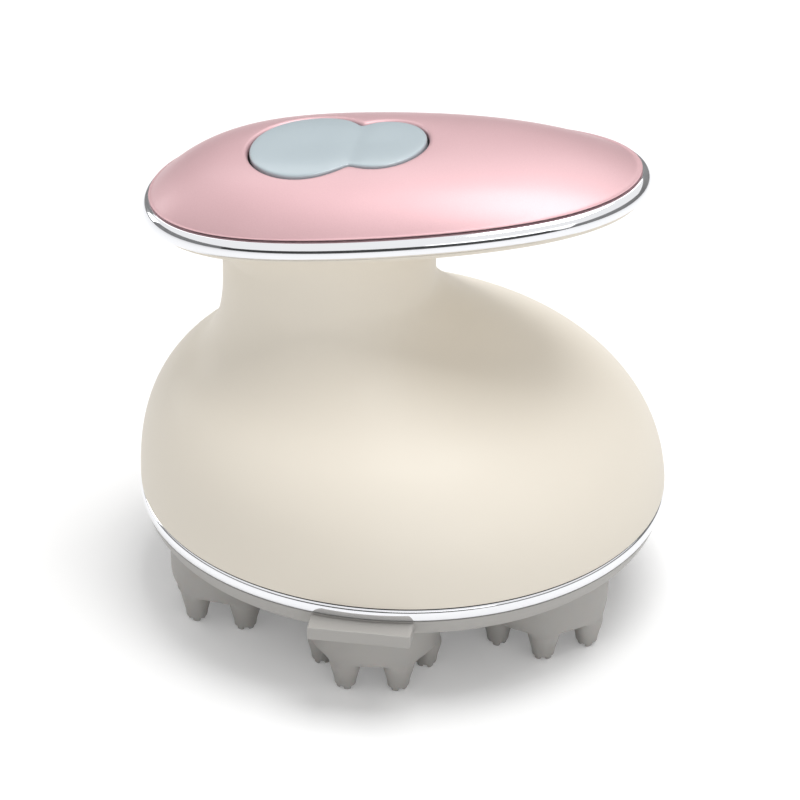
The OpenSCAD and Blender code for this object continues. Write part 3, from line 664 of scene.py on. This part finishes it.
key = pull_through("Power_key", (
    [key_ring(-0.5 * mm, floor_at=key_floor), key_ring(-0.2 * mm, floor_at=key_floor + 0.1 * mm),
     key_ring(0, floor_at=key_floor + 0.45 * mm), key_ring(0, drop=0.95 * mm),
     key_ring(-0.01 * mm, drop=0.5 * mm), key_ring(-0.06 * mm, drop=0.27 * mm),
     key_ring(-0.19 * mm, drop=0.12 * mm), key_ring(-0.4 * mm, drop=0.04 * mm),
     key_ring(-0.8 * mm, drop=0.005 * mm), key_ring(-1.6 * mm, drop=0)]
    + [key_ring(-1.6 * mm, share=s, drop=0)
       for s in (0.93, 0.84, 0.73, 0.61, 0.48, 0.35, 0.22, 0.1, 0.02)]),
    ends="pointed")
round_off(key)
silver = Finish("Soft_silver_blue", Metallic=0.05, Roughness=0.36, Coat_Weight=0.5,
                Coat_Roughness=0.2)
silver.feed(Base_Color=silver.between(silver.noise(46, 2), (0.410, 0.485, 0.522, 1),
                                      (0.445, 0.520, 0.557, 1)),
            Roughness=0.33 + 0.08 * silver.noise(900, 2))
silver.emboss(silver.noise(60, 0), 0.000003)
wear(key, silver)
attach(key, "key")
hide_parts("power_key")


# ---- Head plate with its pull tab ----
# A round plate of warm grey plastic with a sloping rim, a skirt that snaps up into the body,
# and a square tab at the front that a thumb pulls down to take the whole head unit off.
plate_top = band_z - 0.15 * mm
plate_z = plate_top - 3.8 * mm
plate_floor = 2 * mm
plate_low_r = casing_r - 1.9 * mm
tab_w = 19.8 * mm
tab_t = 2.7 * mm
tab_y = -(casing_r + 3.8 * mm) + foot_shift
head_ring_r = 35.5 * mm
head_angles = [math.radians(270 + 60 * k) for k in range(6)]
head_axes = [(head_ring_r * math.cos(a), head_ring_r * math.sin(a) + foot_shift)
             for a in head_angles]
shaft_r = 2.5 * mm
plate = lathe("Head_plate", [
    (0.0, plate_z + plate_floor), (0.0, plate_z), (20 * mm, plate_z),
    (plate_low_r - 0.6 * mm, plate_z),
    (plate_low_r - 0.25 * mm, plate_z + 0.06 * mm), (plate_low_r, plate_z + 0.35 * mm),
    (plate_low_r + 0.75 * mm, plate_z + 1.5 * mm),
    (casing_r - 0.32 * mm, plate_top - 0.25 * mm), (casing_r - 0.27 * mm, plate_top - 0.08 * mm),
    (casing_r - 0.4 * mm, plate_top), (skirt_r, plate_top), (skirt_r, seal_z - 0.35 * mm),
    (skirt_r - 0.2 * mm, seal_z - 0.15 * mm), (skirt_r - 1.3 * mm, seal_z - 0.15 * mm),
    (skirt_r - 1.3 * mm, plate_z + plate_floor)], turns=192, closed=False)
for x, y in head_axes:
    bpy.ops.mesh.primitive_cylinder_add(vertices=48, radius=shaft_r + 0.05 * mm, depth=10 * mm,
                                        location=(x, y, plate_z))
    drill = bpy.context.object
    finish_with(plate, "BOOLEAN", object=drill, solver="EXACT")
    bpy.data.objects.remove(drill)
bpy.ops.object.shade_smooth_by_angle(angle=math.radians(30))

bpy.ops.object.select_all(action="DESELECT")
bpy.ops.mesh.primitive_cube_add(size=1)
tab = bpy.context.object
tab.name = tab.data.name = "Pull_tab"
tab_top = plate_top - 0.3 * mm
low = Vector((-tab_w / 2, tab_y, tab_top - tab_t))
high = Vector((tab_w / 2, tab_y + 8 * mm, tab_top))
for vertex in tab.data.vertices:
    vertex.co = [b if c > 0 else a for a, b, c in zip(low, high, vertex.co)]
bpy.ops.object.mode_set(mode="EDIT")
bpy.ops.mesh.select_all(action="DESELECT")
mesh = bmesh.from_edit_mesh(tab.data)
for face in mesh.faces:
    face.select = face.normal.z > 0.9
bmesh.update_edit_mesh(tab.data)
bpy.ops.mesh.inset(thickness=0.9 * mm)
bpy.ops.transform.translate(value=(0, 0, -0.12 * mm))
bpy.ops.object.mode_set(mode="OBJECT")
finish_with(tab, "BEVEL", width=0.28 * mm, segments=3, limit_method="ANGLE",
            angle_limit=math.radians(40))
bpy.ops.object.shade_smooth_by_angle(angle=math.radians(30))

grey = Finish("Warm_grey_plastic", Roughness=0.42, Specular_IOR_Level=0.45)
grey.feed(Base_Color=grey.between(grey.noise(40, 3), (0.405, 0.392, 0.372, 1),
                                  (0.440, 0.428, 0.408, 1)),
          Roughness=0.38 + 0.1 * grey.noise(1400, 3))
grey.emboss(grey.noise(3200, 3, 0.6), 0.00003)
for piece in (plate, tab):
    wear(piece, grey)
    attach(piece, "head_unit")
    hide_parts("head_plate")


# ---- Massage heads ----
# Six soft grey silicone heads, each moulded in one: a round bowl, six tapered fingers that grow
# out of its foot, and four small teeth on every fingertip. Each is pressed on its own shaft.
bowl_r = 13 * mm
nub_h = 0.9 * mm
finger_h = 5.1 * mm
finger_ring_r = 10.2 * mm
finger_root_r = 3.2 * mm
finger_tip_r = 2.15 * mm
head_lead = 6
head_step = 33
half_pitch = 30    # the first finger stands half a pitch past the lead, and the pattern's at 0
bowl_z = nub_h + finger_h
bowl_top = plate_z - 0.4 * mm


def massage_head(name):
    """One head on the axis: a spun bowl whose foot is split in cells. Pairs of cells grow into
    fingers, and the four quarters of each tip into teeth."""
    full = 1.0115   # a spun 24-sided ring draws in by this much when it is subdivided
    plump = 1.108   # and so does the eight-sided ring of a finger
    head = lathe(name, [(out * full, up) for out, up in (
        (0.0, bowl_top), (0.0, bowl_z), (4.2 * mm, bowl_z), (7.1 * mm, bowl_z),
        (finger_ring_r, bowl_z), (bowl_r - 0.35 * mm, bowl_z + 0.25 * mm),
        (bowl_r - 0.12 * mm, bowl_z + 2.6 * mm), (bowl_r - 0.05 * mm, bowl_top - 1.3 * mm),
        (bowl_r - 0.12 * mm, bowl_top - 0.3 * mm), (bowl_r - 0.5 * mm, bowl_top))],
        centre=(0.0, 0.0), turns=24, closed=False)
    bpy.ops.object.mode_set(mode="EDIT")
    for finger in range(6):
        middle = math.radians(60 * finger)
        way = Vector((math.cos(middle), math.sin(middle)))
        side = Vector((-way.y, way.x))
        hub = way * finger_ring_r
        bpy.ops.mesh.select_all(action="DESELECT")
        mesh = bmesh.from_edit_mesh(head.data)
        for face in mesh.faces:
            flat = face.calc_center_median().xy
            face.select = (face.normal.z < -0.5 and flat.length > 7.3 * mm
                           and abs(way.angle_signed(flat)) < math.radians(15))
        bmesh.update_edit_mesh(head.data)
        for z, radius in ((bowl_z - 0.35 * mm, finger_root_r),
                          (bowl_z - 1.7 * mm, finger_root_r - 0.3 * mm),
                          (nub_h + 1.3 * mm, finger_tip_r + 0.12 * mm),
                          (nub_h + 0.3 * mm, finger_tip_r + 0.02 * mm),
                          (nub_h + 0.05 * mm, finger_tip_r - 0.02 * mm),
                          (nub_h, finger_tip_r - 0.12 * mm)):
            bpy.ops.mesh.extrude_region()
            mesh = bmesh.from_edit_mesh(head.data)
            for vertex in mesh.verts:
                if vertex.select:
                    off = vertex.co.xy - hub
                    u, v = off.dot(way), off.dot(side)
                    away = math.hypot(u, v)
                    # eight points stand round the finger and one on its axis
                    scale = plump * radius / away if away > 0.6 * mm else 0
                    vertex.co = Vector((*(hub + way * (u * scale) + side * (v * scale)), z))
            bmesh.update_edit_mesh(head.data)
        bpy.ops.mesh.inset(thickness=0.26 * mm, use_individual=True)
        bpy.ops.mesh.inset(thickness=0.05 * mm, use_individual=True)
        for z, share in ((nub_h - 0.15 * mm, 1.0), (0.22 * mm, 0.96), (0.03 * mm, 0.84),
                         (0.0, 0.5)):
            bpy.ops.mesh.extrude_faces_indiv()
            mesh = bmesh.from_edit_mesh(head.data)
            for face in [f for f in mesh.faces if f.select]:
                core = face.calc_center_median()
                for vertex in face.verts:
                    vertex.co = core + (vertex.co - core) * share
                    vertex.co.z = z
            bmesh.update_edit_mesh(head.data)
    bpy.ops.object.mode_set(mode="OBJECT")
    round_off(head, 2)
    return head


def copy_to(piece, name, centre, angle):
    """A copy with a mesh of its own, turned about the upright axis and set on a centre."""
    made = piece.copy()
    made.data = piece.data.copy()
    made.name = made.data.name = name
    bpy.context.collection.objects.link(made)
    made.data.transform(Matrix.Translation((*centre, 0)) @ Matrix.Rotation(angle, 4, "Z"))
    return made


silicone = Finish("Soft_grey_silicone", Roughness=0.5, Specular_IOR_Level=0.4,
                  Subsurface_Weight=0.08, Subsurface_Scale=0.004)
silicone.feed(Base_Color=silicone.between(silicone.noise(70, 3), (0.395, 0.383, 0.365, 1),
                                          (0.445, 0.432, 0.412, 1)),
              Roughness=0.44 + 0.12 * silicone.noise(800, 3))
silicone.emboss(silicone.noise(2200, 3), 0.00003)
first_head = massage_head("Head_pattern")
wear(first_head, silicone)
for k, (centre, angle) in enumerate(zip(head_axes, head_angles)):
    lead = angle + math.radians(head_lead + k * head_step + half_pitch)
    head = copy_to(first_head, f"Massage_head_{k + 1}", centre, lead)
    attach(head, f"head_{k + 1}")
    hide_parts(f"massage_head_{k + 1}")
bpy.data.objects.remove(first_head)


# ---- Screws ----
# Steel screws with round heads and a crosswise recess, turned and rolled. Six hold the lid over
# the gears, and four hold the deck to the casing's lugs from below.
gear_play = 0.4 * mm
gear_w = 3.2 * mm
cover_lid_t = 1.4 * mm
cover_lid = plate_z + plate_floor + gear_play + gear_w + gear_play
lid_top = cover_lid + cover_lid_t
chassis_z = seal_z + 2 * mm
deck_z = chassis_z + 2.2 * mm
steel = Finish("Ground_steel", Metallic=1.0, Roughness=0.3)
steel.feed(Base_Color=steel.between(steel.noise(200, 3), (0.50, 0.505, 0.515, 1),
                                    (0.62, 0.625, 0.635, 1)),
           Roughness=0.24 + 0.16 * steel.noise(1800, 3, 0.6, (1, 1, 8)))
steel.emboss(steel.noise(3000, 2, 0.5, (1, 1, 12)), 0.000012)


def screw(name, head_r, head_from, head_to, shank_r, shank_to, up):
    """A screw on the axis whose head faces up or down, with a recess cut by two crossed blades."""
    sign = 1 if up else -1
    rise = head_to - head_from
    made = lathe(name, [
        (0.0, shank_to), (shank_r * 0.6, shank_to), (shank_r, shank_to + sign * 0.4 * mm),
        (shank_r, head_from), (head_r - 0.1 * mm, head_from),
        (head_r, head_from + sign * 0.12 * mm),
        (head_r, head_from + 0.5 * rise), (head_r * 0.86, head_from + 0.86 * rise),
        (head_r * 0.5, head_to), (0.0, head_to)], centre=(0.0, 0.0), turns=32, closed=False)
    for turned in (0, math.pi / 2):
        bpy.ops.mesh.primitive_cube_add(size=1, location=(0, 0, head_to), rotation=(0, 0, turned))
        blade = bpy.context.object
        blade.scale = (head_r * 1.15, 0.42 * mm, abs(rise) * 1.1)
        bpy.context.view_layer.update()
        finish_with(made, "BOOLEAN", object=blade, solver="EXACT")
        bpy.data.objects.remove(blade)
    bpy.ops.object.shade_smooth_by_angle(angle=math.radians(30))
    return made


lid_screw = screw("Lid_screw", 1.8 * mm, lid_top, lid_top + 0.7 * mm, 0.88 * mm,
                  cover_lid - 3 * mm, True)
deck_screw = screw("Deck_screw", 1.9 * mm, chassis_z + 1.3 * mm, chassis_z + 0.1 * mm, 0.98 * mm,
                   deck_z + 4.5 * mm, False)
lid_screw_r = 42 * mm
lug_r = casing_r - casing_wall - 3 * mm
lug_angles = (52, 128, 232, 308)
slot_turn = 0.7    # the recesses stop at uneven angles
screws = ([(lid_screw, lid_screw_r, a + math.radians(30), "head_unit", "gear_cover_screws")
           for a in head_angles]
          + [(deck_screw, lug_r, math.radians(a), "body", "chassis_screws") for a in lug_angles])
for k, (pattern, out, a, body, node) in enumerate(screws):
    made = copy_to(pattern, f"{pattern.name}_{k + 1}",
                   (out * math.cos(a), out * math.sin(a) + foot_shift), slot_turn * k)
    wear(made, steel)
    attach(made, body)
    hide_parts(node)
bpy.data.objects.remove(lid_screw)
bpy.data.objects.remove(deck_screw)


# ---- Plastic inside: deck, lid, key tray, cell holder, charging socket ----
# Injection-moulded parts that only show when the heads are off. They keep their solids, and get
# a spark-eroded texture in grey or black.
inner_grey = Finish("Inner_grey_plastic", Roughness=0.55)
inner_grey.feed(Base_Color=inner_grey.between(inner_grey.noise(90, 3), (0.36, 0.352, 0.338, 1),
                                              (0.42, 0.412, 0.396, 1)),
                Roughness=0.48 + 0.16 * inner_grey.noise(1600, 3))
inner_grey.emboss(inner_grey.noise(4200, 2), 0.00004)
for node in ("chassis", "gear_cover", "key_tray"):
    wear(node, inner_grey)
black_plastic = Finish("Black_plastic", Roughness=0.45)
black_plastic.feed(Base_Color=black_plastic.between(
    black_plastic.noise(200, 3), (0.014, 0.014, 0.015, 1), (0.030, 0.030, 0.031, 1)),
                   Roughness=0.38 + 0.16 * black_plastic.noise(1800, 3))
black_plastic.emboss(black_plastic.noise(3600, 2), 0.00003)
for node in ("battery_holder", "charging_socket"):
    wear(node, black_plastic)
wear("key_seal", black_rubber)


# ---- Gears ----
# Cut from white engineering plastic that slides without oil, with a fine, uneven texture.
gear_white = Finish("White_gear_plastic", Roughness=0.4, Subsurface_Weight=0.1,
                    Subsurface_Scale=0.002)
gear_white.feed(Base_Color=gear_white.between(gear_white.noise(120, 3), (0.77, 0.765, 0.725, 1),
                                              (0.83, 0.825, 0.79, 1)),
                Roughness=0.34 + 0.14 * gear_white.noise(1400, 3))
gear_white.emboss(gear_white.noise(2600, 2), 0.00003)
for node in ["sun_gear", "drive_wheel"] + [f"head_gear_{k}" for k in range(1, 7)]:
    wear(node, gear_white)


# ---- Steel and brass of the drive ----
# Ground shafts, a pressed bracket, the gearbox's can and a cut brass pinion. The motor's can is
# drawn from plated sheet, with a dark plastic cap and two tinned terminals at its end.
for node in ["drive_shaft", "gearbox", "motor_mount"] + [f"head_shaft_{k}" for k in range(1, 7)]:
    wear(node, steel)
brass = Finish("Cut_brass", Metallic=1.0, Roughness=0.25)
brass.feed(Base_Color=brass.between(brass.noise(300, 3), (0.58, 0.40, 0.14, 1),
                                    (0.70, 0.50, 0.20, 1)),
           Roughness=0.2 + 0.14 * brass.noise(2200, 3, 0.6, (1, 1, 6)))
wear("motor_pinion", brass)
can = Finish("Motor_can", Metallic=1.0, Roughness=0.22)
motor_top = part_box("motor")[1][2]
cap_from, cap_to = 4.6 * mm, 3.05 * mm   # down from the terminals' ends
height = can.along("Z")
cap = (height > motor_top - cap_from) * (height < motor_top - cap_to)
can.feed(Base_Color=can.between(cap, can.between(can.noise(80, 2), (0.60, 0.61, 0.62, 1),
                                                 (0.70, 0.71, 0.72, 1)), (0.02, 0.02, 0.022, 1)),
         Metallic=1 - cap, Roughness=0.18 + 0.12 * can.noise(1500, 3, 0.6, (1, 1, 10)) + 0.25 * cap)
wear("motor", can)


# ---- Cell ----
# A rechargeable cell in a blue shrink sleeve that wraps over its rims, with bare nickel-plated
# ends. It lies across the body in a black holder.
cell_low, cell_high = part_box("battery_cell")
sleeve = Finish("Blue_shrink_sleeve", Roughness=0.3, Coat_Weight=0.3)
middle_y = (cell_low[1] + cell_high[1]) / 2
end = abs(sleeve.along("Y") - middle_y) > (cell_high[1] - cell_low[1]) / 2 - 0.7 * mm
film = sleeve.between(sleeve.noise(60, 2), (0.02, 0.09, 0.30, 1), (0.03, 0.12, 0.36, 1))
sleeve.feed(Base_Color=sleeve.between(end, film, (0.6, 0.6, 0.6, 1)),
            Metallic=1.0 * end, Roughness=0.26 + 0.1 * sleeve.noise(900, 3))
sleeve.emboss(sleeve.noise(260, 3, 0.5, (1, 0.2, 1)), 0.00005)
wear("battery_cell", sleeve)


# ---- Boards ----
# Green fibreglass boards with a solder mask, copper tracks that show through it, and black
# or metal parts soldered on top.
def board_finish(name, top):
    """Solder mask below a height, with tracks, and the parts' own colour above it."""
    made = Finish(name, Roughness=0.35, Coat_Weight=0.2)
    x, y, z = made.along("X"), made.along("Y"), made.along("Z")
    part = z > top
    rows = abs((x / (1.27 * mm)).math("FRACT") - 0.5) < 0.14
    lanes = abs((y / (2.54 * mm)).math("FRACT") - 0.5) < 0.09
    patch = made.noise(160, 0) > 0.5
    track = (rows * patch + lanes * (1 - patch)).math("MINIMUM", 1.0)
    mask = made.between(track, (0.010, 0.085, 0.030, 1), (0.035, 0.19, 0.06, 1))
    made.feed(Base_Color=made.between(part, mask, (0.03, 0.03, 0.03, 1)),
              Roughness=0.28 + 0.14 * made.noise(900, 3) + 0.12 * part)
    return made


board_t = 1.6 * mm
wear("main_board", board_finish("Main_board_mask",
                                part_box("main_board")[0][2] + board_t + 0.02 * mm))
wear("switch_board", board_finish("Switch_board_mask", 1.0))   # no part of it stands that high
